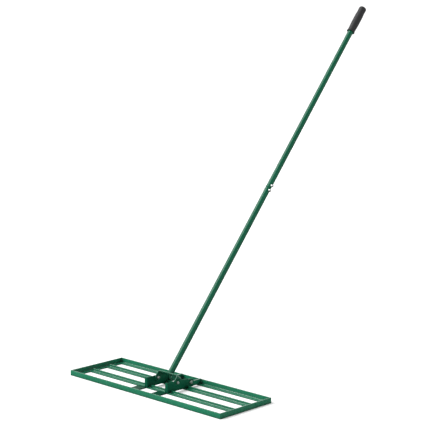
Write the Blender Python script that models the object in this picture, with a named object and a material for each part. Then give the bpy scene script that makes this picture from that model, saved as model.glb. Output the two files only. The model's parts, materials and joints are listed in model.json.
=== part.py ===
"""Lawn levelling rake: a flat ground plate of steel angle bars with a long hinged handle.

The plate drags over loose soil or sand and its bars spread it level.
X runs along the bars, Y from the front bar to the rear bar, Z up.
The origin is the middle of the front bar's underside, on the ground.
"""
import math

import bmesh
import bpy
from mathutils import Matrix, Vector

MM = 0.001
GAP = 0.3 * MM                 # clearance kept between touching pieces

# Ground plate
HEAD_LENGTH = 762 * MM         # along X, 30 in
HEAD_DEPTH = 254 * MM          # along Y, 10 in
STEEL = 4 * MM                 # thickness of the angle bars
OUTER_FLANGE = 20 * MM
OUTER_LEG = 20 * MM
INNER_FLANGE = 17 * MM
INNER_LEG = 12 * MM
INNER_BAR_BACKS = (-30.5 * MM, 50.5 * MM)   # back faces, measured from the plate's centre line
HEEL_RADIUS = 1.6 * MM
TOE_RADIUS = 1.0 * MM
FILLET_RADIUS = 2.0 * MM

# Side brackets
PLATE = 3 * MM                 # thickness of the cheeks
STRAP_WIDTH = 38 * MM
STRAP_OFFSET = 8 * MM          # from a cheek's +X face to its strap
CHEEK_FRONT = -50 * MM         # from the plate's centre line
CHEEK_REAR = 78 * MM
CHEEK_TOP = 41 * MM
CHEEK_REAR_TOP = 31 * MM
CHEEK_SLOPE_START = 20 * MM
FOLD_WIDTH = 12.6 * MM
FOLD_RADIUS = 4 * MM
FOLD_CORNER = 5 * MM
LUG = 6 * MM                   # thickness of the rear lugs
LUG_EYE_RADIUS = 10.5 * MM
LUG_TOP = 22.5 * MM
REAR_BOLT_Y = 65 * MM
REAR_BOLT_Z = 21.5 * MM

# Fasteners, all M6
BOLT_RADIUS = 3 * MM
ACROSS_FLATS = 10 * MM
BOLT_HEAD = 4 * MM
NUT = 5.2 * MM
WASHER = 1.6 * MM
BOLT_HOLE = BOLT_RADIUS + GAP
BOLT_OVERHANG = 1.5 * MM       # thread showing past a nut

# Handle
HANDLE_ANGLE = math.radians(50)
PIVOT_Y = -1 * MM
PIVOT_Z = 32.5 * MM
YOKE_HALF_SPAN = 50 * MM       # outer faces of the arms
YOKE_STEEL = 4 * MM
YOKE_WIDTH = 25 * MM
YOKE_REACH = 25.5 * MM         # pivot to the outer face of the web
YOKE_BEND = 6 * MM             # bend radius on the centre line
ARM_CLEARANCE = 0.6 * MM
TUBE_RADIUS = 11 * MM
TUBE_WALL = 0.9 * MM
TUBE_SEAM = 835 * MM           # pivot to the joint between the two tubes
TUBE_END = 1715 * MM
SLEEVE_LENGTH = 130 * MM
SLEEVE_WALL = 1.3 * MM
JOINT_BOLT_SPACING = 22 * MM
GRIP_LENGTH = 125 * MM
GRIP_COLLAR = 16.3 * MM          # radii of the grip from its open end to its tip
GRIP_NECK = 14.7 * MM
GRIP_SWELL = 15.9 * MM
GRIP_TIP = 15.1 * MM
GRIP_END = 1721 * MM

ROUND_SIDES = 48
BOLT_SIDES = 24

HEAD_CENTRE_Y = HEAD_DEPTH / 2 - OUTER_FLANGE / 2
CHEEK_INNER_X = YOKE_HALF_SPAN + ARM_CLEARANCE


def clear_scene():
    for old in list(bpy.data.objects):
        bpy.data.objects.remove(old, do_unlink=True)


def make_material(name, colour, metallic, roughness):
    mat = bpy.data.materials.new(name)
    mat.use_nodes = True
    shader = mat.node_tree.nodes["Principled BSDF"]
    shader.inputs["Base Color"].default_value = (*colour, 1.0)
    shader.inputs["Metallic"].default_value = metallic
    shader.inputs["Roughness"].default_value = roughness
    return mat


def add_object(name, bm, look, location=(0, 0, 0), rotation=(0, 0, 0), parent=None, smooth=False):
    """Turn a bmesh into an object with its own material."""
    bmesh.ops.recalc_face_normals(bm, faces=bm.faces)
    mesh = bpy.data.meshes.new(name)
    bm.to_mesh(mesh)
    bm.free()
    if smooth:
        mesh.shade_smooth()
        mesh.set_sharp_from_angle(angle=math.radians(32))
    obj = bpy.data.objects.new(name, mesh)
    bpy.context.scene.collection.objects.link(obj)
    obj.location = location
    obj.rotation_euler = rotation
    obj.parent = parent
    mesh.materials.append(make_material(name, *look))
    return obj


def rounded_outline(corners, radii, steps=4):
    """Replace each corner of a polygon with an arc of its own radius."""
    outline = []
    count = len(corners)
    for i, radius in enumerate(radii):
        here = Vector(corners[i])
        before = (Vector(corners[i - 1]) - here).normalized()
        after = (Vector(corners[(i + 1) % count]) - here).normalized()
        if radius == 0:
            outline.append(here)
            continue
        half = before.angle(after) / 2
        start = here + before * (radius / math.tan(half))
        end = here + after * (radius / math.tan(half))
        centre = here + (before + after).normalized() * (radius / math.sin(half))
        sweep = (start - centre).angle_signed(end - centre)
        for k in range(steps + 1):
            turn = Matrix.Rotation(-sweep * k / steps, 2)
            outline.append(centre + turn @ (start - centre))
    return outline


def loft(rings, closed=False):
    """Skin a list of equal-length rings of points. Open ends are capped."""
    bm = bmesh.new()
    loops = [[bm.verts.new(point) for point in ring] for ring in rings]
    size = len(loops[0])
    pairs = list(zip(loops, loops[1:]))
    if closed:
        pairs.append((loops[-1], loops[0]))
    for low, high in pairs:
        for i in range(size):
            j = (i + 1) % size
            bm.faces.new((low[i], low[j], high[j], high[i]))
    if not closed:
        bm.faces.new(loops[0])
        bm.faces.new(loops[-1])
    return bm


def angle_outline(flange, leg):
    """L section: leg at Y = 0, flange on the ground towards +Y."""
    corners = [(0, 0), (flange, 0), (flange, STEEL), (STEEL, STEEL), (STEEL, leg), (0, leg)]
    radii = [HEEL_RADIUS, TOE_RADIUS, TOE_RADIUS, FILLET_RADIUS, TOE_RADIUS, TOE_RADIUS]
    return rounded_outline(corners, radii)


def angle_bar(flange, leg, half_length, mitre):
    """Angle bar along X. With mitre 1 its ends are cut at 45 degrees, longest at the leg."""
    outline = angle_outline(flange, leg)
    rings = []
    for side in (-1, 1):
        rings.append([(side * (half_length - mitre * y), y, z) for y, z in outline])
    return loft(rings)


def ring_points(radius, height, hexagon):
    """One ring of a turned piece. A hexagon's radius is measured across its flats."""
    points = []
    sides = BOLT_SIDES if hexagon is not None else ROUND_SIDES
    for k in range(sides):
        angle = 2 * math.pi * k / sides
        reach = radius
        if hexagon:
            reach = radius / math.cos((angle + math.pi / 6) % (math.pi / 3) - math.pi / 6)
        points.append((reach * math.cos(angle), reach * math.sin(angle), height))
    return points


def turned(profile, closed):
    """Solid of revolution about Z from (radius, height, hexagon) steps."""
    return loft([ring_points(*step) for step in profile], closed)


def tube(outer, inner, start, end):
    """Plain tube along Z."""
    steps = ((outer, start), (outer, end), (inner, end), (inner, start))
    return turned([(radius, height, None) for radius, height in steps], True)


def bolt(shank):
    """Hexagon bolt. The underside of its head is at Z = 0 and its shank points to -Z."""
    flat = ACROSS_FLATS / 2
    point = 0.12 * BOLT_RADIUS
    crown = 0.18 * BOLT_HEAD
    profile = [
        (flat * 0.86, BOLT_HEAD, False),
        (flat, BOLT_HEAD - crown, True),
        (flat, 0, True),
        (BOLT_RADIUS, 0, False),
        (BOLT_RADIUS, point - shank, False),
        (BOLT_RADIUS - point, -shank, False),
    ]
    return turned(profile, False)


def nut():
    """Hexagon nut standing on Z = 0, with a plain bore."""
    flat = ACROSS_FLATS / 2
    crown = 0.14 * NUT
    profile = [
        (BOLT_HOLE, 0, False),
        (flat * 0.9, 0, False),
        (flat, crown, True),
        (flat, NUT - crown, True),
        (flat * 0.9, NUT, False),
        (BOLT_HOLE, NUT, False),
    ]
    return turned(profile, True)


def washer():
    """Flat washer standing on Z = 0."""
    rim = BOLT_RADIUS * 2
    steps = ((BOLT_HOLE, 0), (rim, 0), (rim, WASHER), (BOLT_HOLE, WASHER))
    return turned([(radius, height, False) for radius, height in steps], True)


def add_fastener(name, bm, side, place, parent=None):
    """Place a bolt, nut or washer with its local Z towards +X (side 1) or -X (side -1)."""
    turn = (0, side * math.pi / 2, 0)
    return add_object(name, bm, ZINC, place, turn, parent, smooth=True)


def bent_strip(stations, thickness, width_axis):
    """Strip of sheet steel: each station is (point, normal, low, high)."""
    rings = []
    for point, normal, low, high in stations:
        side = Vector(normal) * thickness / 2
        corners = ((side, low), (side, high), (-side, high), (-side, low))
        rings.append([Vector(point) + offset + width_axis * reach for offset, reach in corners])
    return loft(rings)


def drill(obj, radius, depth, location, parent=None):
    """Cut a round hole along X."""
    bm = bmesh.new()
    bmesh.ops.create_cone(bm, cap_ends=True, segments=BOLT_SIDES, radius1=radius, radius2=radius, depth=depth)
    mesh = bpy.data.meshes.new("drill")
    bm.to_mesh(mesh)
    bm.free()
    cutter = bpy.data.objects.new(obj.name + "_drill", mesh)
    bpy.context.scene.collection.objects.link(cutter)
    cutter.location = location
    cutter.rotation_euler = (0, math.pi / 2, 0)
    cutter.parent = parent
    cutter.hide_render = True
    cutter.display_type = "WIRE"
    cut = obj.modifiers.new("hole", "BOOLEAN")
    cut.operation = "DIFFERENCE"
    cut.solver = "EXACT"
    cut.object = cutter


# Looks: colour, metallic, roughness
GREEN = ((0.016, 0.235, 0.112), 0.0, 0.42)
ZINC = ((0.50, 0.53, 0.51), 1.0, 0.38)
GRIP_BLACK = ((0.022, 0.023, 0.024), 0.0, 0.62)


def build_frame():
    """Four mitred angle bars with their legs outside, and two low bars between them."""
    half_length = HEAD_LENGTH / 2
    half_depth = HEAD_DEPTH / 2
    sides = (
        ("front_bar", 0, -half_depth, half_length, 0.0),
        ("rear_bar", 0, half_depth, half_length, math.pi),
        ("left_end_bar", -half_length, 0, half_depth, -math.pi / 2),
        ("right_end_bar", half_length, 0, half_depth, math.pi / 2),
    )
    for name, x, y, half, turn in sides:
        bm = angle_bar(OUTER_FLANGE, OUTER_LEG, half - GAP, 1)
        add_object(name, bm, GREEN, (x, y + HEAD_CENTRE_Y, 0), (0, 0, turn), smooth=True)
    for name, back in zip(("front_inner_bar", "rear_inner_bar"), INNER_BAR_BACKS):
        bm = angle_bar(INNER_FLANGE, INNER_LEG, half_length - OUTER_FLANGE - GAP, 0)
        add_object(name, bm, GREEN, (0, back + HEAD_CENTRE_Y, 0), (0, 0, math.pi), smooth=True)


def cheek_stations():
    """Path of one cheek: a front fold, a bend, then a long side notched over the bars' legs.

    X is measured from the side's +X face and Y from the plate's centre line.
    """
    base = STEEL + GAP
    over_leg = INNER_LEG + GAP
    middle = FOLD_RADIUS - PLATE / 2
    stations = []
    fold_y = CHEEK_FRONT + PLATE / 2
    for k in range(5):
        angle = math.pi / 8 * k
        x = -FOLD_WIDTH + FOLD_CORNER * (1 - math.cos(angle))
        top = CHEEK_TOP - FOLD_CORNER * (1 - math.sin(angle))
        stations.append(((x, fold_y, 0), (0, -1, 0), base, top))
    for k in range(6):
        angle = math.pi / 10 * k
        normal = Vector((math.sin(angle), -math.cos(angle), 0))
        centre = Vector((-FOLD_RADIUS, CHEEK_FRONT + FOLD_RADIUS, 0))
        stations.append((centre + normal * middle, normal, base, CHEEK_TOP))
    slant = 1.5 * MM
    side = []
    for back in INNER_BAR_BACKS:
        notch_start = back - STEEL - GAP
        notch_end = back + GAP
        side += [
            (notch_start - FILLET_RADIUS, base),
            (notch_start, over_leg),
            (notch_end, over_leg),
            (notch_end + slant, base),
        ]
        if back < 0:
            side.append((CHEEK_SLOPE_START, base))
    side += [(CHEEK_REAR - slant, base), (CHEEK_REAR, base + slant)]
    fall = (CHEEK_TOP - CHEEK_REAR_TOP) / (CHEEK_REAR - CHEEK_SLOPE_START)
    for y, low in side:
        top = CHEEK_TOP - fall * max(0, y - CHEEK_SLOPE_START)
        stations.append(((-PLATE / 2, y, 0), (1, 0, 0), low, top))
    return stations


def build_cheeks():
    """Two equal folded cheeks, and the straps in front of them, both turned the same way."""
    up = Vector((0, 0, 1))
    start = OUTER_FLANGE - HEAD_DEPTH / 2 + GAP
    end = INNER_BAR_BACKS[0] - INNER_FLANGE - GAP
    right_edge = -STRAP_OFFSET
    left_edge = right_edge - STRAP_WIDTH
    corners = [(left_edge, 0), (right_edge, 0), (right_edge, STEEL), (left_edge, STEEL)]
    strap_outline = rounded_outline(corners, [TOE_RADIUS] * 4, 3)
    strap_rings = [[(x, y, z) for x, z in strap_outline] for y in (start, end)]
    for name, face in (("left", -CHEEK_INNER_X), ("right", CHEEK_INNER_X + PLATE)):
        bm = bent_strip(cheek_stations(), PLATE, up)
        cheek = add_object(name + "_cheek", bm, GREEN, (face, HEAD_CENTRE_Y, 0), smooth=True)
        for y, z in ((PIVOT_Y, PIVOT_Z), (REAR_BOLT_Y, REAR_BOLT_Z)):
            drill(cheek, BOLT_HOLE, 4 * PLATE, (face, HEAD_CENTRE_Y + y, z))
        add_object(name + "_strap", loft(strap_rings), GREEN, (face, HEAD_CENTRE_Y, 0), smooth=True)


def lug_outline():
    """Side view of a rear lug: a round eye for the bolt and a bar back to the rear bar."""
    floor = STEEL + GAP
    back = HEAD_DEPTH / 2 - STEEL - GAP
    outline = []
    for k in range(17):
        angle = math.radians(240 - 200 * k / 16)
        y = REAR_BOLT_Y + LUG_EYE_RADIUS * math.cos(angle)
        z = REAR_BOLT_Z + LUG_EYE_RADIUS * math.sin(angle)
        outline.append((y, z))
    chamfer = FILLET_RADIUS + GAP
    outline.append((REAR_BOLT_Y + 2 * LUG_EYE_RADIUS, LUG_TOP))
    outline.append((back, LUG_TOP))
    outline.append((back, floor + chamfer))
    outline.append((back - chamfer, floor))
    outline.append((REAR_BOLT_Y - LUG_EYE_RADIUS / 2, floor))
    return outline


def build_rear_joint():
    """Lugs on the rear bar, and the bolts that hold the cheeks to them."""
    outline = lug_outline()
    y = HEAD_CENTRE_Y + REAR_BOLT_Y
    inner = CHEEK_INNER_X - GAP - LUG
    seat = CHEEK_INNER_X + PLATE + GAP
    under_head = seat + WASHER + GAP
    shank = under_head - inner + GAP
    for name, side in (("left", -1), ("right", 1)):
        rings = [[(side * x, along, z) for along, z in outline] for x in (inner, inner + LUG)]
        lug = add_object(name + "_rear_lug", loft(rings), GREEN, (0, HEAD_CENTRE_Y, 0), smooth=True)
        drill(lug, BOLT_HOLE, 2 * LUG, (side * (inner + LUG / 2), y, REAR_BOLT_Z))
        add_fastener(name + "_rear_washer", washer(), side, (side * seat, y, REAR_BOLT_Z))
        add_fastener(name + "_rear_bolt", bolt(shank), side, (side * under_head, y, REAR_BOLT_Z))


def build_pivot_fasteners():
    """Bolts on the hinge axis, heads outside the cheeks and nuts inside the yoke."""
    y = HEAD_CENTRE_Y + PIVOT_Y
    under_head = CHEEK_INNER_X + PLATE + GAP
    nut_seat = YOKE_HALF_SPAN - YOKE_STEEL - GAP
    shank = under_head - nut_seat + NUT + BOLT_OVERHANG
    for name, side in (("left", -1), ("right", 1)):
        add_fastener(name + "_pivot_bolt", bolt(shank), side, (side * under_head, y, PIVOT_Z))
        add_fastener(name + "_pivot_nut", nut(), -side, (side * nut_seat, y, PIVOT_Z))


def yoke_stations():
    """U of flat steel in the XZ plane: round arm ends at the pivot, web across the handle."""
    half = YOKE_WIDTH / 2
    arm_x = YOKE_HALF_SPAN - YOKE_STEEL / 2
    web_z = YOKE_REACH - YOKE_STEEL / 2
    arm = []
    for k in range(1, 9):
        angle = math.pi / 2 * k / 8
        width = half * math.sin(angle)
        arm.append(((arm_x, 0, -half * math.cos(angle)), (1, 0, 0), width))
    arm_end = web_z - YOKE_BEND
    arm.append(((arm_x, 0, arm_end), (1, 0, 0), half))
    for k in range(1, 7):
        angle = math.pi / 2 * k / 6
        normal = (math.cos(angle), 0, math.sin(angle))
        centre = (arm_x - YOKE_BEND, 0, arm_end)
        point = Vector(centre) + Vector(normal) * YOKE_BEND
        arm.append((point, normal, half))
    stations = [(point, normal, -width, width) for point, normal, width in arm]
    for point, normal, width in reversed(arm):
        mirrored = (-point[0], point[1], point[2])
        stations.append((mirrored, (-normal[0], normal[1], normal[2]), -width, width))
    return stations


def grip_profile():
    """Hollow grip: a collar at its open end, a neck, a swell for the palm and a domed end."""
    start = GRIP_END - GRIP_LENGTH
    collar = 5 * MM
    soft = 0.8 * MM
    dome = 7 * MM
    bore = TUBE_RADIUS + GAP
    profile = [
        (bore, start),
        (GRIP_COLLAR - soft, start),
        (GRIP_COLLAR, start + soft),
        (GRIP_COLLAR, start + collar),
        (GRIP_NECK, start + collar + MM),
        (GRIP_SWELL, start + 0.40 * GRIP_LENGTH),
        (GRIP_SWELL, start + 0.64 * GRIP_LENGTH),
        (GRIP_NECK, start + 0.82 * GRIP_LENGTH),
        (GRIP_TIP, start + 0.90 * GRIP_LENGTH),
    ]
    for k in range(7):
        angle = math.pi / 2 * k / 7
        radius = GRIP_TIP - dome * (1 - math.cos(angle))
        profile.append((radius, GRIP_END - dome + dome * math.sin(angle)))
    profile.append((GRIP_TIP - dome, GRIP_END))
    profile.append((MM, GRIP_END))
    inner_end = TUBE_END + GAP
    return [(radius, height, None) for radius, height in profile], bore, inner_end


def build_grip(pivot):
    """Grip as one closed solid: outside skin, end, then the blind bore."""
    outside, bore, inner_end = grip_profile()
    bm = bmesh.new()
    rings = [ring_points(MM, inner_end, None), ring_points(bore, inner_end, None)]
    rings += [ring_points(*step) for step in outside]
    loops = [[bm.verts.new(point) for point in ring] for ring in rings]
    for low, high in zip(loops, loops[1:]):
        for i in range(ROUND_SIDES):
            j = (i + 1) % ROUND_SIDES
            bm.faces.new((low[i], low[j], high[j], high[i]))
    bm.faces.new(loops[0])
    bm.faces.new(loops[-1])
    add_object("grip", bm, GRIP_BLACK, parent=pivot, smooth=True)


def build_handle():
    """Yoke, two tubes joined by an inner sleeve and two bolts, and a grip, on the hinge axis."""
    pivot = bpy.data.objects.new("handle_pivot", None)
    bpy.context.scene.collection.objects.link(pivot)
    pivot.location = (0, HEAD_CENTRE_Y + PIVOT_Y, PIVOT_Z)
    pivot.rotation_euler = (HANDLE_ANGLE - math.pi / 2, 0, 0)

    yoke = add_object("yoke", bent_strip(yoke_stations(), YOKE_STEEL, Vector((0, 1, 0))), GREEN,
                      parent=pivot, smooth=True)
    drill(yoke, BOLT_HOLE, 3 * YOKE_HALF_SPAN, (0, 0, 0), pivot)

    inner = TUBE_RADIUS - TUBE_WALL
    spans = (
        ("lower_tube", YOKE_REACH + GAP, TUBE_SEAM - GAP / 2),
        ("upper_tube", TUBE_SEAM + GAP / 2, TUBE_END),
    )
    sleeve_radius = inner - GAP
    half_sleeve = SLEEVE_LENGTH / 2
    sleeve = add_object("joint_sleeve", tube(sleeve_radius, sleeve_radius - SLEEVE_WALL,
                                             TUBE_SEAM - half_sleeve, TUBE_SEAM + half_sleeve),
                        ZINC, parent=pivot, smooth=True)
    seat = TUBE_RADIUS + GAP
    shank = 2 * seat + NUT + BOLT_OVERHANG
    for (name, start, end), side in zip(spans, (-1, 1)):
        piece = add_object(name, tube(TUBE_RADIUS, inner, start, end), GREEN, parent=pivot, smooth=True)
        height = TUBE_SEAM + side * JOINT_BOLT_SPACING / 2
        for target in (piece, sleeve):
            drill(target, BOLT_HOLE, 4 * TUBE_RADIUS, (0, 0, height), pivot)
        label = name.split("_")[0]
        add_fastener(label + "_joint_bolt", bolt(shank), -1, (-seat, 0, height), pivot)
        add_fastener(label + "_joint_nut", nut(), 1, (seat, 0, height), pivot)
    build_grip(pivot)


clear_scene()
build_frame()
build_cheeks()
build_rear_joint()
build_pivot_fasteners()
build_handle()
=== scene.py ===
import json
import math
import random

import bmesh
import bpy
from mathutils import Matrix, Vector


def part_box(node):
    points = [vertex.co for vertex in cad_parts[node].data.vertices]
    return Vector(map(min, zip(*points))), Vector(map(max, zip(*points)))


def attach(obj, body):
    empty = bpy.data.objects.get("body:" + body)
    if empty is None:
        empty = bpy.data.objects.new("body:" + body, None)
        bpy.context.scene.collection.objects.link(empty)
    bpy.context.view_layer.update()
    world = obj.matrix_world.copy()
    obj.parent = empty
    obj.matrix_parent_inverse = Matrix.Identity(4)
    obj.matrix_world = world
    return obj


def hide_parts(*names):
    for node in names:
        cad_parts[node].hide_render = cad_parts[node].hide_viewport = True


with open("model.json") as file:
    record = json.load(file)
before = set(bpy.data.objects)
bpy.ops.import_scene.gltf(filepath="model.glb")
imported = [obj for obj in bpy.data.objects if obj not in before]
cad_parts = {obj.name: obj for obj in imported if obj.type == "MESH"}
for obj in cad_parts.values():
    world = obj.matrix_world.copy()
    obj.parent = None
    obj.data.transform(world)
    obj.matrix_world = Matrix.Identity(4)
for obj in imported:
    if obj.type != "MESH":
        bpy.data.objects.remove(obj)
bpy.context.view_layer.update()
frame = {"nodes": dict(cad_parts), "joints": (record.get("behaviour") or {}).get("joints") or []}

scene = bpy.context.scene

MM = 0.001
GAP = 0.3 * MM
PLATE_BODY = "ground_plate"
HANDLE_BODY = "handle"
INNER_BARS = ("front_inner_bar", "rear_inner_bar")

# Section sizes of the ground plate's angle bars
STEEL = 4 * MM
OUTER_FLANGE = 20 * MM
OUTER_LEG = 20 * MM
INNER_FLANGE = 17 * MM
INNER_LEG = 12 * MM
HEEL_RADIUS = 1.0 * MM
TOE_RADIUS = 0.6 * MM
FILLET_RADIUS = 2.0 * MM

# Brackets
PLATE = 3 * MM
FOLD_WIDTH = 12.6 * MM
FOLD_RADIUS = 4 * MM
FOLD_CORNER = 5 * MM
CHEEK_TOP = 41 * MM
CHEEK_REAR_TOP = 31 * MM
CHEEK_SLOPE_LENGTH = 58 * MM
SHEET_EDGE = 0.45 * MM          # rounding left on cut sheet edges under the paint
LUG_EYE_RADIUS = 10.5 * MM

# Fasteners, M6
BOLT_RADIUS = 3 * MM
THREAD_PITCH = 1 * MM
THREAD_DEPTH = 0.51 * MM
ACROSS_FLATS = 10 * MM
BOLT_HEAD = 4 * MM

# Handle
HANDLE_ANGLE = math.radians(50)
YOKE_STEEL = 4 * MM
YOKE_WIDTH = 25 * MM
YOKE_REACH = 25.5 * MM
YOKE_BEND = 6 * MM
TUBE_RADIUS = 11 * MM
TUBE_WALL = 0.9 * MM
TUBE_SEAM = 835 * MM
TUBE_END = 1715 * MM
JOINT_BOLT_SPACING = 22 * MM
GRIP_LENGTH = 125 * MM
GRIP_END = 1721 * MM
GRIP_COLLAR = 16.3 * MM         # radii of the grip from its open end to its tip
GRIP_NECK = 14.7 * MM
GRIP_SWELL = 15.9 * MM
GRIP_TIP = 15.1 * MM
GRIP_COLLAR_LENGTH = 5 * MM
GRIP_DOME = 7 * MM
MOULD_LINE = 0.22 * MM          # radius of the ridge along the grip's sides

# Weld beads
BEAD_RADIUS = 1.9 * MM
BEAD_SINK = 0.8 * MM            # bead's centre line below the face it lies on
RIPPLE_PITCH = 2.1 * MM
RIPPLE_HEIGHT = 0.28 * MM
BEAD_STEP = 0.42 * MM           # between rings
BEAD_SIDES = 12
RINGS_PER_DRAW = 5              # rings between two random widths
BEAD_WANDER = 0.12 * MM
BEAD_SHARP = 80                 # degrees, wide enough to keep the ripples smooth

# Points around turned shapes
ROUND_SIDES = 72
TUBE_SIDES = 96

# Studio
FLOOR_SIZE = 120
FLOOR_WHITE = 0.76
FLOOR_GLOW = 0.22               # keeps shaded ground pale, as on a lit backdrop
SUN_ENERGY = 4.4
SUN_ANGLE = math.radians(50)
SUN_SIDE = (-0.42, -0.50, 0.76)
LENS = 106.13
CAMERA_PLACE = (3.1239, -2.9005, 1.2716)
CAMERA_YAW = math.radians(43.83)
CAMERA_PITCH = math.radians(8.401)
CAMERA_ROLL = math.radians(0.1)
# Sky brightness by height, each (height on the unit sphere, brightness)
SKY = ((-1.0, 0.12), (-0.16, 0.12), (-0.07, 1.1), (0.10, 1.2),
       (0.20, 1.6), (0.36, 1.5), (0.55, 0.25), (1.0, 0.12))
SKY_BRIGHT_SIDE = (-0.70, 0.71, 0)
SKY_DIM_SHARE = 0.74

HINGE = Vector(frame["joints"][0]["pos_m"])
ALONG_HANDLE = Matrix.Translation(HINGE) @ Matrix.Rotation(HANDLE_ANGLE - math.pi / 2, 4, "X")


# ---------------------------------------------------------------- node helpers

class Graph:
    """Short names for building one material's nodes."""

    def __init__(self, name):
        self.material = bpy.data.materials.new(name)
        self.material.use_nodes = True
        self.tree = self.material.node_tree
        self.shader = self.tree.nodes["Principled BSDF"]
        self.place = self.tree.nodes.new("ShaderNodeTexCoord").outputs["Object"]

    def link(self, source, target):
        """Join an output to an input."""
        self.tree.links.new(source, target)

    def noise(self, scale, detail=3.0, stretch=None):
        """Noise in object space, optionally stretched along the axes."""
        node = self.tree.nodes.new("ShaderNodeTexNoise")
        node.inputs["Scale"].default_value = scale
        node.inputs["Detail"].default_value = detail
        place = self.place
        if stretch:
            mapping = self.tree.nodes.new("ShaderNodeMapping")
            mapping.inputs["Scale"].default_value = stretch
            self.link(place, mapping.inputs["Vector"])
            place = mapping.outputs["Vector"]
        self.link(place, node.inputs["Vector"])
        return node.outputs["Fac"]

    def cells(self, scale):
        """Random value per cell, for grains and pebbles."""
        node = self.tree.nodes.new("ShaderNodeTexVoronoi")
        node.inputs["Scale"].default_value = scale
        self.link(self.place, node.inputs["Vector"])
        return node.outputs["Color"]

    def remap(self, value, low, high, to_low, to_high):
        """Map a range of values to another range, held at both ends."""
        node = self.tree.nodes.new("ShaderNodeMapRange")
        self.link(value, node.inputs["Value"])
        for socket, number in zip(("From Min", "From Max", "To Min", "To Max"), (low, high, to_low, to_high)):
            node.inputs[socket].default_value = number
        return node.outputs["Result"]

    def math(self, operation, first, second):
        """Combine two values, each a number or an output, and hold the result in 0 to 1."""
        node = self.tree.nodes.new("ShaderNodeMath")
        node.operation = operation
        node.use_clamp = True
        for socket, value in zip(node.inputs, (first, second)):
            if isinstance(value, (int, float)):
                socket.default_value = value
            else:
                self.link(value, socket)
        return node.outputs["Value"]

    def blend(self, amount, first, second):
        """Mix two colours, each an RGB triple or a colour output."""
        node = self.tree.nodes.new("ShaderNodeMix")
        node.data_type = "RGBA"
        self.link(amount, node.inputs["Factor"])
        for socket, colour in ((node.inputs[6], first), (node.inputs[7], second)):
            if isinstance(colour, tuple):
                socket.default_value = (*colour, 1)
            else:
                self.link(colour, socket)
        return node.outputs[2]

    def edges(self, radius):
        """0 on flat faces, rising to 1 on rounded edges and bead crests."""
        flat, turned_away = 0.995, 0.82
        bevel = self.tree.nodes.new("ShaderNodeBevel")
        bevel.samples = 6
        bevel.inputs["Radius"].default_value = radius
        geometry = self.tree.nodes.new("ShaderNodeNewGeometry")
        dot = self.tree.nodes.new("ShaderNodeVectorMath")
        dot.operation = "DOT_PRODUCT"
        self.link(bevel.outputs["Normal"], dot.inputs[0])
        self.link(geometry.outputs["Normal"], dot.inputs[1])
        return self.remap(dot.outputs["Value"], flat, turned_away, 0, 1)

    def near_ground(self, height, share):
        """1 above a height, falling to share below it."""
        soft = 0.3 * MM
        split = self.tree.nodes.new("ShaderNodeSeparateXYZ")
        self.link(self.place, split.inputs[0])
        return self.remap(split.outputs["Z"], height - soft, height, share, 1)

    def hollows(self, reach):
        """1 on open faces, falling towards 0 in corners and where a face meets the ground: the mask for
        painted shade.
        """
        node = self.tree.nodes.new("ShaderNodeAmbientOcclusion")
        node.samples = 8
        node.inputs["Distance"].default_value = reach
        return node.outputs["AO"]

    def bumps(self, *layers):
        """Stack bump layers, each (height, distance in metres, strength)."""
        normal = None
        for height, distance, strength in layers:
            node = self.tree.nodes.new("ShaderNodeBump")
            node.inputs["Distance"].default_value = distance
            node.inputs["Strength"].default_value = strength
            self.link(height, node.inputs["Height"])
            if normal:
                self.link(normal, node.inputs["Normal"])
            normal = node.outputs["Normal"]
        self.link(normal, self.shader.inputs["Normal"])


def powder_coat(name, depth, gloss):
    """Green powder coat: orange peel, drifting tone, paler worn edges, painted shade in hollows and a darker
    band along the lowest faces.

    depth scales the colour: below 1 the coat is darker; the coats below use it to paint in light and shade.
    gloss is the specular level.
    """
    def green(*colour):
        return tuple(channel * depth for channel in colour)
    g = Graph(name)
    drift = g.remap(g.noise(7), 0.3, 0.7, 0, 1)
    tone = g.blend(drift, green(0.0042, 0.096, 0.048), green(0.0056, 0.114, 0.058))
    speckle = g.remap(g.noise(900, 2), 0.56, 0.74, 0, 0.35)
    tone = g.blend(speckle, tone, green(0.009, 0.135, 0.072))
    worn = g.math("MULTIPLY", g.edges(0.7 * MM), g.remap(g.noise(120, 5), 0.38, 0.66, 0.08, 0.42))
    tone = g.blend(worn, tone, green(0.027, 0.195, 0.122))
    # painted shade: ambient occlusion pulls the coat towards a near-black green in corners and hollows; faces
    # below 3.7 mm are pulled a further 15 % towards it
    unshaded = g.remap(g.hollows(30 * MM), 0.34, 0.65, 0, 1)
    unshaded_above_ground = g.math("MULTIPLY", unshaded, g.near_ground(STEEL - 0.3 * MM, 0.85))
    g.link(g.blend(unshaded_above_ground, green(0.0010, 0.026, 0.013), tone), g.shader.inputs["Base Color"])
    rubbed = g.remap(g.noise(55, 6), 0.48, 0.72, 0, 0.10)
    g.link(g.math("ADD", g.remap(g.noise(18, 2), 0.3, 0.7, 0.24, 0.30), rubbed), g.shader.inputs["Roughness"])
    g.shader.inputs["Specular IOR Level"].default_value = gloss
    g.bumps((g.noise(520, 1.5), 0.10 * MM, 0.28), (g.noise(90, 1), 0.25 * MM, 0.10))
    return g.material


def zinc_plate():
    """Bright zinc: mottled grains, fine rolling marks and dulled edges."""
    g = Graph("zinc_plate")
    grains = g.cells(620)
    tone = g.blend(g.remap(g.noise(240, 3), 0.3, 0.7, 0, 1), (0.52, 0.56, 0.54), (0.70, 0.72, 0.69))
    tone = g.blend(g.remap(grains, 0, 1, 0, 0.22), tone, (0.42, 0.45, 0.47))
    g.link(g.blend(g.edges(0.5 * MM), tone, (0.78, 0.79, 0.76)), g.shader.inputs["Base Color"])
    g.link(g.remap(g.noise(300, 4), 0.3, 0.7, 0.27, 0.44), g.shader.inputs["Roughness"])
    g.shader.inputs["Metallic"].default_value = 1.0
    g.bumps((g.noise(700, 2, (1, 0.15, 0.15)), 0.05 * MM, 0.3), (g.noise(1600, 1), 0.02 * MM, 0.25))
    return g.material


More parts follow.
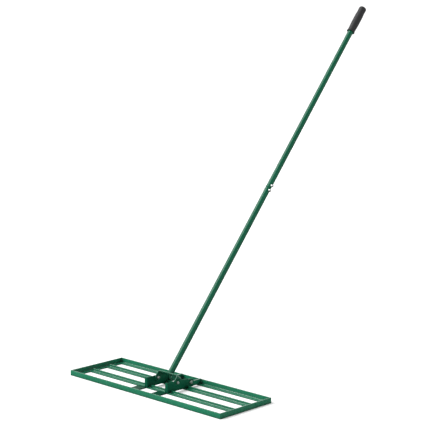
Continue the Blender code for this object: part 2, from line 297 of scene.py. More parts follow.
def grip_rubber():
    """Charcoal dipped rubber: pebbled skin, hand polish and a little dust."""
    g = Graph("dipped_rubber")
    drift = g.remap(g.noise(30, 4), 0.3, 0.7, 0, 1)
    tone = g.blend(drift, (0.0200, 0.0200, 0.0212), (0.0270, 0.0270, 0.0280))
    dust = g.remap(g.noise(380, 6), 0.58, 0.78, 0, 0.25)
    tone = g.blend(dust, tone, (0.055, 0.053, 0.050))
    g.link(g.blend(g.edges(0.8 * MM), tone, (0.045, 0.045, 0.046)), g.shader.inputs["Base Color"])
    g.link(g.remap(g.noise(60, 4), 0.3, 0.7, 0.50, 0.64), g.shader.inputs["Roughness"])
    g.shader.inputs["Specular IOR Level"].default_value = 0.25
    g.bumps((g.cells(1500), 0.10 * MM, 0.35), (g.noise(240, 3), 0.15 * MM, 0.2))
    return g.material


# painted light: the plate's coat is brightened (depth 1.32) for the floor light the plate gets near the
# ground
GREEN = powder_coat("powder_coat", 1.32, 0.60)
# partly a darker bracket coat, partly painted shade: the cheeks and their folds are darkened to the shade
# they show
SHADED_BRACKET_GREEN = powder_coat("bracket_powder_coat", 0.77, 0.07)
# painted shade: the flat straps and their welds get a dark, nearly glossless coat so their tops read as
# shaded faces
SHADED_STRAP_GREEN = powder_coat("strap_powder_coat", 0.50, 0.02)
# painted shade: the handle's coat is the same green darkened (depth 0.80) for the floor light the raised tube
# lacks
SHADED_HANDLE_GREEN = powder_coat("handle_powder_coat", 0.80, 0.19)
ZINC = zinc_plate()
RUBBER = grip_rubber()


# ---------------------------------------------------------------- shape helpers

def add_piece(name, bm, look, body, nodes=(), matrix=None, sharp=38):
    """Make an object from a bmesh, ride it on a body and let it stand for its CAD nodes."""
    bmesh.ops.recalc_face_normals(bm, faces=bm.faces)
    mesh = bpy.data.meshes.new(name)
    bm.to_mesh(mesh)
    bm.free()
    if matrix is not None:
        mesh.transform(matrix)
    mesh.shade_smooth()
    mesh.set_sharp_from_angle(angle=math.radians(sharp))
    mesh.materials.append(look)
    piece = bpy.data.objects.new(name, mesh)
    scene.collection.objects.link(piece)
    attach(piece, body)
    if nodes:
        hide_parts(*nodes)


def skin(bm, rings, closed=False):
    """Skin equal-length rings of points: a closed loop of rings, or a run with both ends capped."""
    loops = [[bm.verts.new(point) for point in ring] for ring in rings]
    size = len(loops[0])
    pairs = list(zip(loops, loops[1:]))
    if closed:
        pairs.append((loops[-1], loops[0]))
    for low, high in pairs:
        for i in range(size):
            j = (i + 1) % size
            bm.faces.new((low[i], low[j], high[j], high[i]))
    if not closed:
        bm.faces.new(loops[0])
        bm.faces.new(loops[-1])


def rounded_outline(corners, radii, steps):
    """Replace each corner of a polygon with an arc of its own radius."""
    outline = []
    count = len(corners)
    for i, radius in enumerate(radii):
        here = Vector(corners[i])
        before = (Vector(corners[i - 1]) - here).normalized()
        after = (Vector(corners[(i + 1) % count]) - here).normalized()
        half = before.angle(after) / 2
        start = here + before * (radius / math.tan(half))
        end = here + after * (radius / math.tan(half))
        centre = here + (before + after).normalized() * (radius / math.sin(half))
        sweep = (start - centre).angle_signed(end - centre)
        for k in range(steps + 1):
            outline.append(centre + Matrix.Rotation(-sweep * k / steps, 2) @ (start - centre))
    return outline


def section_ring(point, normal, across, thickness, low, high, edge):
    """Rounded rectangle: thickness along the normal, low to high along the width axis."""
    half = thickness / 2
    corners = [(-half, low), (half, low), (half, high), (-half, high)]
    outline = rounded_outline(corners, [edge] * 4, steps=3)
    return [Vector(point) + Vector(normal) * u + across * v for u, v in outline]


def bent_strip(stations, thickness, across, edge=SHEET_EDGE):
    """Strip of sheet steel with soft edges: each station is (point, normal, low, high)."""
    end_steps = 3
    rings = []
    last = len(stations) - 1
    for index, (point, normal, low, high) in enumerate(stations):
        if index not in (0, last):
            rings.append(section_ring(point, normal, across, thickness, low, high, edge))
            continue
        inward = Vector(stations[1][0] if index == 0 else stations[-2][0]) - Vector(point)
        inward.normalize()
        rounded = []
        for k in range(end_steps + 1):
            angle = math.pi / 2 / end_steps * k
            shrink = edge * (1 - math.sin(angle))
            shift = inward * edge * (1 - math.cos(angle))
            ring = section_ring(Vector(point) + shift, normal, across, thickness - 2 * shrink,
                                low + shrink, high - shrink, edge * 0.6)
            rounded.append(ring)
        rings += rounded if index == 0 else rounded[::-1]
    bm = bmesh.new()
    skin(bm, rings)
    return bm


def circle(radius, height, sides=ROUND_SIDES):
    """Points around a circle about Z."""
    return [(radius * math.cos(2 * math.pi * k / sides), radius * math.sin(2 * math.pi * k / sides), height)
            for k in range(sides)]


def turned(profile, sides=ROUND_SIDES):
    """Ring turned about Z from a closed loop of (radius, height) points."""
    bm = bmesh.new()
    skin(bm, [circle(radius, height, sides) for radius, height in profile], closed=True)
    return bm


def bead_into(bm, path, radius, seed, closed=False):
    """Weld bead along a polyline: a rounded cord with the scalloped ripples of a hand weld."""
    draw = random.Random(seed)
    points = []
    for start, end in zip(path, path[1:]):
        start, end = Vector(start), Vector(end)
        count = max(2, round((end - start).length / BEAD_STEP))
        points += [start.lerp(end, k / count) for k in range(count)]
    if not closed:
        points.append(Vector(path[-1]))
    total = len(points)
    wander = [draw.uniform(-1, 1) for _ in range(total // RINGS_PER_DRAW + 3)]
    rings = []
    travelled = 0.0
    for index, point in enumerate(points):
        ahead = points[(index + 1) % total] if closed or index + 1 < total else point
        behind = points[index - 1] if closed or index > 0 else point
        direction = (ahead - behind).normalized()
        if index:
            travelled += (point - points[index - 1]).length
        up = Vector((0, 0, 1)) if abs(direction.z) < 0.8 else Vector((1, 0, 0))
        right = direction.cross(up).normalized()
        up = right.cross(direction)
        near = index / RINGS_PER_DRAW
        drift = wander[int(near)] * (1 - near % 1) + wander[int(near) + 1] * (near % 1)
        if closed:
            drift *= math.sin(math.pi * index / total)
        taper = 1.0
        if not closed:
            taper = min(1.0, (0.35 + min(index, total - 1 - index) * BEAD_STEP / radius) ** 0.5)
        ring = []
        for k in range(BEAD_SIDES):
            angle = 2 * math.pi * k / BEAD_SIDES
            phase = travelled / RIPPLE_PITCH + 0.35 * math.cos(angle)
            ripple = RIPPLE_HEIGHT * (abs(math.sin(math.pi * phase)) - 0.5)
            reach = (radius + ripple + BEAD_WANDER * drift) * taper
            ring.append(point + (right * math.cos(angle) + up * math.sin(angle)) * reach)
        rings.append(ring)
    skin(bm, rings, closed=closed)


def beads(name, body, paths, radius=BEAD_RADIUS, look=GREEN):
    """One piece of painted weld made of separate beads."""
    bm = bmesh.new()
    for index, path in enumerate(paths):
        bead_into(bm, path, radius, seed=sum(map(ord, name)) + index)
    add_piece(name, bm, look, body, sharp=BEAD_SHARP)


# ---------------------------------------------------------------- ground plate

def angle_outline(flange, leg):
    """L section: leg at Y = 0, flange on the ground towards +Y."""
    corners = [(0, 0), (flange, 0), (flange, STEEL), (STEEL, STEEL), (STEEL, leg), (0, leg)]
    radii = [HEEL_RADIUS, TOE_RADIUS, TOE_RADIUS, FILLET_RADIUS, TOE_RADIUS, TOE_RADIUS]
    return rounded_outline(corners, radii, steps=8)


def build_bar(node, flange, leg, mitre):
    """Angle bar over a CAD bar. mitre is how far each end slants in per unit of width."""
    low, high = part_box(node)
    centre = (low + high) / 2
    along_x = high.x - low.x > high.y - low.y
    length = max(high.x - low.x, high.y - low.y)
    turns = {"front_bar": 0, "left_end_bar": -math.pi / 2, "right_end_bar": math.pi / 2}
    turn = turns.get(node, math.pi)
    if along_x:
        back = Vector((centre.x, low.y if turn == 0 else high.y, low.z))
    else:
        back = Vector((low.x if turn < 0 else high.x, centre.y, low.z))
    pieces = 24
    outline = angle_outline(flange, leg)
    rings = []
    for k in range(pieces + 1):
        share = 2 * k / pieces - 1
        rings.append([(share * (length / 2 - mitre * y), y, z) for y, z in outline])
    bm = bmesh.new()
    skin(bm, rings)
    place = Matrix.Translation(back) @ Matrix.Rotation(turn, 4, "Z")
    add_piece("painted_" + node, bm, GREEN, PLATE_BODY, (node,), place)


def build_plate():
    """Mitred outer bars, plain inner bars and the welds between them."""
    for node in ("front_bar", "rear_bar", "left_end_bar", "right_end_bar"):
        build_bar(node, OUTER_FLANGE, OUTER_LEG, 1)
    for node in INNER_BARS:
        build_bar(node, INNER_FLANGE, INNER_LEG, 0)
    build_corner_welds()
    build_inner_bar_welds()


def build_corner_welds():
    """Mitre beads across the flanges and up inside the legs, and outside a seam ground smooth."""
    low = Vector((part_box("left_end_bar")[0].x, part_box("front_bar")[0].y, 0))
    high = Vector((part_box("right_end_bar")[1].x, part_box("rear_bar")[1].y, 0))
    mitre_sink = 0.9 * MM
    for name, x, y, sx, sy in (
        ("front_left", low.x, low.y, 1, 1),
        ("front_right", high.x, low.y, -1, 1),
        ("rear_left", low.x, high.y, 1, -1),
        ("rear_right", high.x, high.y, -1, -1),
    ):
        def inside(depth, z):
            return Vector((x + sx * depth, y + sy * depth, z))
        z = STEEL - mitre_sink
        mitre = [inside(OUTER_FLANGE - 0.4 * MM, z), inside(STEEL + 0.8 * MM, z)]
        upright = [inside(STEEL - 0.1 * MM, STEEL), inside(STEEL - 0.1 * MM, OUTER_LEG - 1.6 * MM)]
        beads(f"{name}_mitre_weld", PLATE_BODY, [mitre, upright])
        bm = bmesh.new()
        radius = 1.5 * MM
        core = inside(radius + 0.02 * MM, 0)
        end = radius * 0.7
        profile = ((end, 0.7 * MM), (radius, 1.2 * MM), (radius, OUTER_LEG - 0.8 * MM),
                   (end, OUTER_LEG - 0.15 * MM))
        skin(bm, [[core + Vector(point) for point in circle(r, height, 24)] for r, height in profile])
        add_piece(f"{name}_ground_seam", bm, GREEN, PLATE_BODY)


def build_inner_bar_welds():
    """Beads where the inner bars meet the end bars' flanges."""
    for node in INNER_BARS:
        low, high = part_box(node)
        paths = []
        for x in (low.x, high.x):
            side = 1 if x > 0 else -1
            edge = x + side * 0.3 * MM
            z = STEEL - BEAD_SINK
            leg_y = high.y - STEEL / 2
            paths.append([(edge, low.y + MM, z), (edge, high.y - MM, z)])
            paths.append([(edge, leg_y, STEEL), (edge, leg_y, INNER_LEG - 3 * MM)])
        beads(f"{node}_welds", PLATE_BODY, paths)


# ---------------------------------------------------------------- brackets

def cheek_stations(face, front, rear):
    """Stations along one cheek: fold, bend, then the side notched over the inner bars' legs."""
    base = STEEL + GAP
    over_leg = INNER_LEG + GAP
    middle = FOLD_RADIUS - PLATE / 2
    slope_start = rear - CHEEK_SLOPE_LENGTH
    corner_steps, bend_steps = 12, 14
    stations = []
    for k in range(corner_steps + 1):
        angle = math.pi / 2 / corner_steps * k
        x = face - FOLD_WIDTH + FOLD_CORNER * (1 - math.cos(angle))
        top = CHEEK_TOP - FOLD_CORNER * (1 - math.sin(angle))
        stations.append((Vector((x, front + PLATE / 2, 0)), Vector((0, -1, 0)), base, top))
    for k in range(bend_steps + 1):
        angle = math.pi / 2 / bend_steps * k
        normal = Vector((math.sin(angle), -math.cos(angle), 0))
        centre = Vector((face - FOLD_RADIUS, front + FOLD_RADIUS, 0))
        stations.append((centre + normal * middle, normal, base, CHEEK_TOP))
    slant = 1.5 * MM
    side = []
    for node in INNER_BARS:
        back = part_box(node)[1].y
        notch_start = back - STEEL - GAP
        notch_end = back + GAP
        side += [(notch_start - FILLET_RADIUS, base), (notch_start, over_leg)]
        side += [(notch_end, over_leg), (notch_end + slant, base)]
    side += [(slope_start, base), (rear - slant, base), (rear, base + slant)]
    side.sort(key=lambda entry: entry[0])
    fall = (CHEEK_TOP - CHEEK_REAR_TOP) / CHEEK_SLOPE_LENGTH
    for y, low in side:
        top = CHEEK_TOP - fall * max(0, y - slope_start)
        stations.append((Vector((face - PLATE / 2, y, 0)), Vector((1, 0, 0)), low, top))
    return stations


def build_cheek(side):
    """Folded cheek and its weld beads on the bars."""
    node = side + "_cheek"
    low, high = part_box(node)
    face = high.x
    bm = bent_strip(cheek_stations(face, low.y, high.y), PLATE, Vector((0, 0, 1)))
    add_piece("painted_" + node, bm, SHADED_BRACKET_GREEN, PLATE_BODY, (node,))
    strap_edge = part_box(side + "_strap")[1].x
    z = STEEL + 0.2 * MM
    fold_y = low.y - 0.2 * MM
    paths = [[(face - FOLD_WIDTH + MM, fold_y, z), (strap_edge - 0.5 * MM, fold_y, z)]]
    for bar in INNER_BARS:
        bar_low, bar_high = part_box(bar)
        start = max(bar_low.y + MM, low.y + FOLD_RADIUS)
        end = bar_high.y - STEEL - 1.4 * MM
        for x in (face + 0.2 * MM, face - PLATE - 0.2 * MM):
            paths.append([(x, start, z), (x, end, z)])
            paths.append([(x, bar_high.y - 3.4 * MM, INNER_LEG), (x, bar_high.y - 0.6 * MM, INNER_LEG)])
    beads(node + "_welds", PLATE_BODY, paths, 1.5 * MM, SHADED_BRACKET_GREEN)


def build_strap(side):
    """Flat strap between the front bar and the front inner bar, with a bead at each end."""
    node = side + "_strap"
    low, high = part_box(node)
    corners = [(low.x, low.z), (high.x, low.z), (high.x, high.z), (low.x, high.z)]
    outline = rounded_outline(corners, [TOE_RADIUS] * 4, steps=6)
    bm = bmesh.new()
    skin(bm, [[(x, low.y + (high.y - low.y) * k / 6, z) for x, z in outline] for k in range(7)])
    add_piece("painted_" + node, bm, SHADED_STRAP_GREEN, PLATE_BODY, (node,))
    fold_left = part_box(side + "_cheek")[0].x
    z = STEEL - BEAD_SINK
    front = [(low.x + MM, low.y - 0.15 * MM, z), (high.x - MM, low.y - 0.15 * MM, z)]
    rear = [(low.x + MM, high.y + 0.15 * MM, z), (fold_left - MM, high.y + 0.15 * MM, z)]
    beads(node + "_welds", PLATE_BODY, [front, rear], look=SHADED_STRAP_GREEN)


def build_lug(side):
    """Rear lug: a round eye behind the bolt and a bar back to the rear bar's leg."""
    node = side + "_rear_lug"
    low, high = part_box(node)
    bolt_low, bolt_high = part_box(side + "_rear_bolt")
    eye_y = (bolt_low.y + bolt_high.y) / 2
    eye_z = (bolt_low.z + bolt_high.z) / 2
    bar_top = eye_z + MM
    chamfer = FILLET_RADIUS + GAP
    eye_from, eye_sweep, eye_steps = 240, 200, 32
    outline = []
    for k in range(eye_steps + 1):
        angle = math.radians(eye_from - eye_sweep * k / eye_steps)
        outline.append((eye_y + LUG_EYE_RADIUS * math.cos(angle), eye_z + LUG_EYE_RADIUS * math.sin(angle)))
    outline += [
        (eye_y + 2 * LUG_EYE_RADIUS, bar_top),
        (high.y, bar_top),
        (high.y, low.z + chamfer),
        (high.y - chamfer, low.z),
        (eye_y - LUG_EYE_RADIUS / 2, low.z),
    ]
    inner = Vector((0, eye_y + LUG_EYE_RADIUS, eye_z))
    bm = bmesh.new()
    rings = []
    edge = 0.5 * MM
    shoulder, part_way = 0.15 * edge, 0.4 * edge
    for x, inset in ((low.x, edge), (low.x + shoulder, part_way), (low.x + edge, 0),
                     (high.x - edge, 0), (high.x - shoulder, part_way), (high.x, edge)):
        ring = []
        for y, z in outline:
            toward = inner - Vector((0, y, z))
            ring.append(Vector((x, y, z)) + toward * (inset / toward.length))
        rings.append(ring)
    skin(bm, rings)
    add_piece("painted_" + node, bm, GREEN, PLATE_BODY, (node,))
    rear_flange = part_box("rear_bar")[0].y
    paths = []
    for x in (low.x - 0.1 * MM, high.x + 0.1 * MM):
        leg_y = high.y - 0.2 * MM
        paths.append([(x, rear_flange + MM, low.z), (x, high.y - 2 * MM, low.z),
                      (x, leg_y, low.z + 2 * MM), (x, leg_y, OUTER_LEG - 2 * MM)])
    beads(node + "_welds", PLATE_BODY, paths, 1.6 * MM)


# ---------------------------------------------------------------- fasteners

def hexagon_radius(flat, angle):
    """Distance from the middle to the side of a hexagon, flat being half the width across flats."""
    return flat / math.cos((angle + math.pi / 6) % (math.pi / 3) - math.pi / 6)


def hexagon_rings(flat, bottom, top, chamfer_bottom, chamfer_top):
    """Rings up a hexagon whose corners are turned off by a 30 degree chamfer."""
    contact = flat * 0.95
    fall = math.tan(math.radians(30))

    def level(height, direction, chamfered):
        ring = []
        for k in range(ROUND_SIDES):
            angle = 2 * math.pi * k / ROUND_SIDES
            reach = hexagon_radius(flat, angle)
            drop = (reach - contact) * fall if chamfered else 0
            ring.append((reach * math.cos(angle), reach * math.sin(angle), height - direction * drop))
        return ring
    rings = []
    if chamfer_bottom:
        rings.append(circle(contact, bottom))
    rings.append(level(bottom, -1, chamfer_bottom))
    rings.append(level(top, 1, chamfer_top))
    if chamfer_top:
        rings.append(circle(contact, top))
    return rings


def thread_rings(start, end):
    """Rings down a threaded shank, the crest winding once per pitch."""
    rings_per_turn = 8
    count = max(4, math.ceil(abs(end - start) / (THREAD_PITCH / rings_per_turn)))
    rings = []
    for i in range(count + 1):
        z = start + (end - start) * i / count
        fade = min(1.0, (count - i) / 5)
        ring = []
        for k in range(ROUND_SIDES):
            turn = (z / THREAD_PITCH + k / ROUND_SIDES) % 1
            cut = THREAD_DEPTH * (1 - abs(2 * turn - 1))
            radius = BOLT_RADIUS * (0.90 + 0.10 * fade) - 0.1 * MM - cut
            angle = 2 * math.pi * k / ROUND_SIDES
            ring.append((radius * math.cos(angle), radius * math.sin(angle), z))
        rings.append(ring)
    return rings


def bolt_shape(shank, threaded):
    """Hexagon bolt: underside of the head at Z = 0, shank towards -Z, a dished head top."""
    flat = ACROSS_FLATS / 2
    rings = [
        circle(flat * 0.5, BOLT_HEAD - 0.35 * MM),
        circle(flat * 0.62, BOLT_HEAD - 0.3 * MM),
        circle(flat * 0.68, BOLT_HEAD),
    ]
    rings += hexagon_rings(flat, 0.3 * MM, BOLT_HEAD, False, True)[::-1]
    rings += [circle(flat * 0.94, 0.3 * MM), circle(flat * 0.94, 0), circle(BOLT_RADIUS, 0)]
    rings.append(circle(BOLT_RADIUS, threaded - shank))
    rings += thread_rings(threaded - shank, -shank)
    rings.append(circle(BOLT_RADIUS * 0.5, -shank))
    bm = bmesh.new()
    skin(bm, rings)
    return bm


def nut_shape(height):
    """Hexagon nut standing on Z = 0, chamfered on both faces and around its bore."""
    flat = ACROSS_FLATS / 2
    bore = BOLT_RADIUS + 0.05 * MM
    lead = 0.45 * MM
    rings = [circle(bore, lead), circle(bore + lead, 0)]
    rings += hexagon_rings(flat, 0, height, True, True)
    rings += [circle(bore + lead, height), circle(bore, height - lead)]
    bm = bmesh.new()
    skin(bm, rings, closed=True)
    return bm


def washer_shape(rim, thickness):
    """Stamped washer: one rolled edge, one crisp edge."""
    bore = BOLT_RADIUS + GAP
    soft = 0.35 * MM
    profile = [(bore, 0), (rim - 0.1 * MM, 0), (rim, 0.1 * MM), (rim, thickness - soft)]
    profile += [(rim - soft * (1 - math.cos(a)), thickness - soft * (1 - math.sin(a)))
                for a in (math.pi / 6, math.pi / 3, math.pi / 2)]
    profile += [(bore + 0.2 * MM, thickness), (bore, thickness - 0.2 * MM)]
    return turned(profile)


def towards(side, twist):
    """Turn local Z to +X (side 1) or -X (side -1), with a twist about the bolt's own axis."""
    return Matrix.Rotation(side * math.pi / 2, 4, "Y") @ Matrix.Rotation(math.radians(twist), 4, "Z")


def plated_bolt(node, body, place, threaded):
    """Zinc bolt over a CAD bolt that lies along X, its head's underside at the place's origin."""
    low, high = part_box(node)
    shank = high.x - low.x - BOLT_HEAD
    add_piece("plated_" + node, bolt_shape(shank, threaded), ZINC, body, (node,), place)


def plated_nut(node, body, place):
    """Zinc nut over a CAD nut whose axis lies along X, seated at the place's origin."""
    low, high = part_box(node)
    add_piece("plated_" + node, nut_shape(high.x - low.x), ZINC, body, (node,), place)


def build_side_fasteners(side, sign):
    """Pivot bolt and nut, and rear bolt and washer, of one cheek."""
    def outer_x(node):
        low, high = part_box(node)
        return max(abs(low.x), abs(high.x))

    bolt = side + "_pivot_bolt"
    head = Matrix.Translation((sign * (outer_x(bolt) - BOLT_HEAD), HINGE.y, HINGE.z))
    plated_bolt(bolt, PLATE_BODY, head @ towards(sign, 12), 9 * MM)
    nut = side + "_pivot_nut"
    seat = Matrix.Translation((sign * outer_x(nut), HINGE.y, HINGE.z))
    plated_nut(nut, PLATE_BODY, seat @ towards(-sign, 40))

    bolt = side + "_rear_bolt"
    low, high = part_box(bolt)
    centre = (low + high) / 2
    head = Matrix.Translation((sign * (outer_x(bolt) - BOLT_HEAD), centre.y, centre.z))
    plated_bolt(bolt, PLATE_BODY, head @ towards(sign, 25), 6 * MM)
    washer = side + "_rear_washer"
    low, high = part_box(washer)
    seat = Matrix.Translation((sign * min(abs(low.x), abs(high.x)), centre.y, centre.z))
    shape = washer_shape((high.z - low.z) / 2, high.x - low.x)
    add_piece("plated_" + washer, shape, ZINC, PLATE_BODY, (washer,), seat @ towards(sign, 0))


def build_joint_fasteners():
    """Two through bolts at the tube joint, heads on -X and nuts on +X."""
    for name, step, twist in (("lower", -1, 8), ("upper", 1, 33)):
        height = TUBE_SEAM + step * JOINT_BOLT_SPACING / 2
        bolt = name + "_joint_bolt"
        head = ALONG_HANDLE @ Matrix.Translation((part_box(bolt)[0].x + BOLT_HEAD, 0, height))
        plated_bolt(bolt, HANDLE_BODY, head @ towards(-1, twist), 8 * MM)
        nut = name + "_joint_nut"
        seat = ALONG_HANDLE @ Matrix.Translation((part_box(nut)[0].x, 0, height))
        plated_nut(nut, HANDLE_BODY, seat @ towards(1, twist + 17))


# ---------------------------------------------------------------- handle

def build_yoke():
    """U of flat steel with round arm ends, and the bead that joins it to the tube."""
    half = YOKE_WIDTH / 2
    low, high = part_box("yoke")
    arm_x = (high.x - low.x) / 2 - YOKE_STEEL / 2
    arm_end = YOKE_REACH - YOKE_STEEL / 2 - YOKE_BEND
    outward = Vector((1, 0, 0))
    round_steps, bend_steps = 24, 14
    arm = []
    for k in range(2, round_steps + 1):
        angle = math.pi / 2 * k / round_steps
        arm.append((Vector((arm_x, 0, -half * math.cos(angle))), outward, half * math.sin(angle)))
    arm.append((Vector((arm_x, 0, arm_end)), outward, half))
    for k in range(1, bend_steps + 1):
        angle = math.pi / 2 * k / bend_steps
        normal = Vector((math.cos(angle), 0, math.sin(angle)))
        arm.append((Vector((arm_x - YOKE_BEND, 0, arm_end)) + normal * YOKE_BEND, normal, half))
    stations = [(point, normal, -width, width) for point, normal, width in arm]
    for point, normal, width in reversed(arm):
        mirrored = Vector((-point.x, point.y, point.z))
        stations.append((mirrored, Vector((-normal.x, normal.y, normal.z)), -width, width))
    bm = bent_strip(stations, YOKE_STEEL, Vector((0, 1, 0)), 0.6 * MM)
    add_piece("painted_yoke", bm, SHADED_HANDLE_GREEN, HANDLE_BODY, ("yoke",), ALONG_HANDLE)
    bm = bmesh.new()
    around = circle(TUBE_RADIUS + 0.5 * MM, YOKE_REACH + 0.4 * MM, 60)
    bead_into(bm, around + around[:1], 2.1 * MM, seed=5, closed=True)
    add_piece("yoke_tube_weld", bm, SHADED_HANDLE_GREEN, HANDLE_BODY, matrix=ALONG_HANDLE, sharp=BEAD_SHARP)


def tube_shape(start, end, soft_start, soft_end):
    """Tube with softened ends, divided along its length for smooth shading."""
    outer, inner = TUBE_RADIUS, TUBE_RADIUS - TUBE_WALL
    corner = 0.3                  # share of the softening left at the middle of a rounded end
    profile = [
        (inner, start + 0.2 * MM),
        (outer - soft_start, start),
        (outer - soft_start * corner, start + soft_start * corner),
        (outer, start + soft_start),
    ]
    count = 40
    for k in range(1, count):
        profile.append((outer, start + (end - start) * k / count))
    profile += [
        (outer, end - soft_end),
        (outer - soft_end * corner, end - soft_end * corner),
        (outer - soft_end, end),
        (inner, end - 0.2 * MM),
    ]
    return turned(profile, TUBE_SIDES)


def build_tubes():
    """Lower and upper tube, butted at the joint with a fine rounded seam."""
    lower = tube_shape(YOKE_REACH + GAP, TUBE_SEAM - GAP / 2, 0.2 * MM, 0.6 * MM)
    add_piece("painted_lower_tube", lower, SHADED_HANDLE_GREEN, HANDLE_BODY, ("lower_tube",), ALONG_HANDLE)
    upper = tube_shape(TUBE_SEAM + GAP / 2, TUBE_END, 0.6 * MM, 0.3 * MM)
    add_piece("painted_upper_tube", upper, SHADED_HANDLE_GREEN, HANDLE_BODY, ("upper_tube",), ALONG_HANDLE)


def grip_skin():
    """Outside of the grip as (radius, height) steps: rolled collar, neck, palm swell, tip and dome."""
    start = GRIP_END - GRIP_LENGTH
    roll = 1.7 * MM
    round_steps, swell_steps = 12, 8
    profile = []
    for k in range(round_steps + 1):
        angle = math.pi * k / round_steps
        height = start + GRIP_COLLAR_LENGTH / 2 * (1 - math.cos(angle))
        profile.append((GRIP_COLLAR - roll * (1 - math.sin(angle)), height))
    stops = [
        (start + GRIP_COLLAR_LENGTH + MM, GRIP_NECK),
        (start + 0.40 * GRIP_LENGTH, GRIP_SWELL),
        (start + 0.64 * GRIP_LENGTH, GRIP_SWELL),
        (start + 0.82 * GRIP_LENGTH, GRIP_NECK),
        (start + 0.90 * GRIP_LENGTH, GRIP_TIP),
        (GRIP_END - GRIP_DOME, GRIP_TIP),
    ]
    for (low, first), (high, second) in zip(stops, stops[1:]):
        for k in range(swell_steps):
            share = 0.5 - 0.5 * math.cos(math.pi * k / swell_steps)
            profile.append((first + (second - first) * share, low + (high - low) * k / swell_steps))
    for k in range(round_steps + 1):
        angle = math.pi / 2 * k / round_steps
        radius = GRIP_TIP - GRIP_DOME * (1 - math.cos(angle))
        profile.append((radius, GRIP_END - GRIP_DOME + GRIP_DOME * math.sin(angle)))
    return profile


def build_grip():
    """Rubber grip with a small vent in its domed end and a mould line along each side."""
    start = GRIP_END - GRIP_LENGTH
    bore = TUBE_RADIUS + GAP
    vent = 1.0 * MM
    outside = grip_skin()
    profile = [(vent, TUBE_END + GAP), (bore, TUBE_END + GAP), (bore, start + 1.2 * MM)] + outside
    profile += [(1.7 * MM, GRIP_END), (1.3 * MM, GRIP_END - 0.3 * MM), (vent, GRIP_END - 1.2 * MM)]
    bm = turned(profile, TUBE_SIDES)
    add_piece("rubber_grip", bm, RUBBER, HANDLE_BODY, ("grip",), ALONG_HANDLE, sharp=50)
    bm = bmesh.new()
    margin = 8 * MM
    body = [step for step in outside if start + margin < step[1] < GRIP_END - margin]
    line_sides = 8
    for side in (-1, 1):
        rings = []
        for radius, height in body:
            ring = []
            for j in range(line_sides):
                angle = 2 * math.pi * j / line_sides
                x = side * (radius - 0.05 * MM + MOULD_LINE * math.cos(angle))
                ring.append((x, 0.3 * MM * math.sin(angle), height))
            rings.append(ring)
        skin(bm, rings)
    add_piece("grip_mould_lines", bm, RUBBER, HANDLE_BODY, matrix=ALONG_HANDLE)


def finish_sleeve():
    """The sleeve inside the tubes keeps its CAD shape and takes the zinc look."""
    for slot in frame["nodes"]["joint_sleeve"].material_slots:
        slot.material = ZINC


build_plate()
for cheek_side, sign in (("left", -1), ("right", 1)):
    build_cheek(cheek_side)
    build_strap(cheek_side)
    build_lug(cheek_side)
    build_side_fasteners(cheek_side, sign)
build_yoke()
build_tubes()
build_joint_fasteners()
build_grip()
finish_sleeve()


# ---------------------------------------------------------------- studio

def build_floor():
    """Large pale floor, left out of reflections."""
    bm = bmesh.new()
    bmesh.ops.create_grid(bm, x_segments=1, y_segments=1, size=FLOOR_SIZE)
    mesh = bpy.data.meshes.new("floor")
    bm.to_mesh(mesh)
    bm.free()
    floor = bpy.data.objects.new("floor", mesh)
    scene.collection.objects.link(floor)
    paint = bpy.data.materials.new("floor_paint")
    paint.use_nodes = True
    shader = paint.node_tree.nodes["Principled BSDF"]
    shader.inputs["Base Color"].default_value = (FLOOR_WHITE, FLOOR_WHITE, FLOOR_WHITE, 1)
    shader.inputs["Emission Color"].default_value = (1, 1, 1, 1)
    shader.inputs["Emission Strength"].default_value = FLOOR_GLOW
    shader.inputs["Roughness"].default_value = 1.0
    shader.inputs["Specular IOR Level"].default_value = 0.0
    mesh.materials.append(paint)
    floor.visible_glossy = False


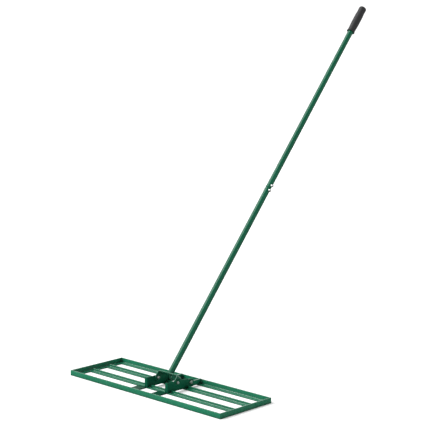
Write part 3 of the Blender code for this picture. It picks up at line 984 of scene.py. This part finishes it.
def build_sky():
    """Studio surround: bright bands above the horizon, darker overhead and below, brighter behind."""
    world = bpy.data.worlds.new("studio")
    scene.world = world
    world.use_nodes = True
    nodes, links = world.node_tree.nodes, world.node_tree.links
    place = nodes.new("ShaderNodeTexCoord").outputs["Generated"]
    split = nodes.new("ShaderNodeSeparateXYZ")
    ramp = nodes.new("ShaderNodeValToRGB")
    elements = ramp.color_ramp.elements
    while len(elements) < len(SKY):
        elements.new(0.5)
    for element, (height, white) in zip(elements, SKY):
        element.position = (height + 1) / 2
        element.color = (white, white, white, 1)
    links.new(place, split.inputs[0])
    up = nodes.new("ShaderNodeMapRange")
    up.inputs["From Min"].default_value = -1
    links.new(split.outputs["Z"], up.inputs["Value"])
    links.new(up.outputs["Result"], ramp.inputs["Fac"])
    links.new(ramp.outputs["Color"], nodes["Background"].inputs["Color"])
    ahead = nodes.new("ShaderNodeVectorMath")
    ahead.operation = "DOT_PRODUCT"
    ahead.inputs[1].default_value = SKY_BRIGHT_SIDE
    links.new(place, ahead.inputs[0])
    strength = nodes.new("ShaderNodeMapRange")
    for socket, number in (("From Min", -0.5), ("From Max", 0.5), ("To Min", SKY_DIM_SHARE), ("To Max", 1.0)):
        strength.inputs[socket].default_value = number
    links.new(ahead.outputs["Value"], strength.inputs["Value"])
    links.new(strength.outputs["Result"], nodes["Background"].inputs["Strength"])


def build_sun():
    """Large soft key from above the plate's front left."""
    light = bpy.data.lights.new("key", "SUN")
    light.energy = SUN_ENERGY
    light.angle = SUN_ANGLE
    key = bpy.data.objects.new("key", light)
    scene.collection.objects.link(key)
    key.rotation_euler = Vector(SUN_SIDE).to_track_quat("Z", "Y").to_euler()


def build_camera():
    """Long lens, looking down a little on the plate from its front right."""
    data = bpy.data.cameras.new("camera")
    data.sensor_width = 36
    data.lens = LENS
    data.clip_end = 400
    camera = bpy.data.objects.new("camera", data)
    scene.collection.objects.link(camera)
    aim = Matrix.Rotation(CAMERA_YAW, 4, "Z") @ Matrix.Rotation(math.pi / 2 - CAMERA_PITCH, 4, "X")
    camera.matrix_world = Matrix.Translation(CAMERA_PLACE) @ aim @ Matrix.Rotation(CAMERA_ROLL, 4, "Z")
    scene.camera = camera


build_floor()
build_sky()
build_sun()
build_camera()
scene.view_settings.view_transform = "Standard"
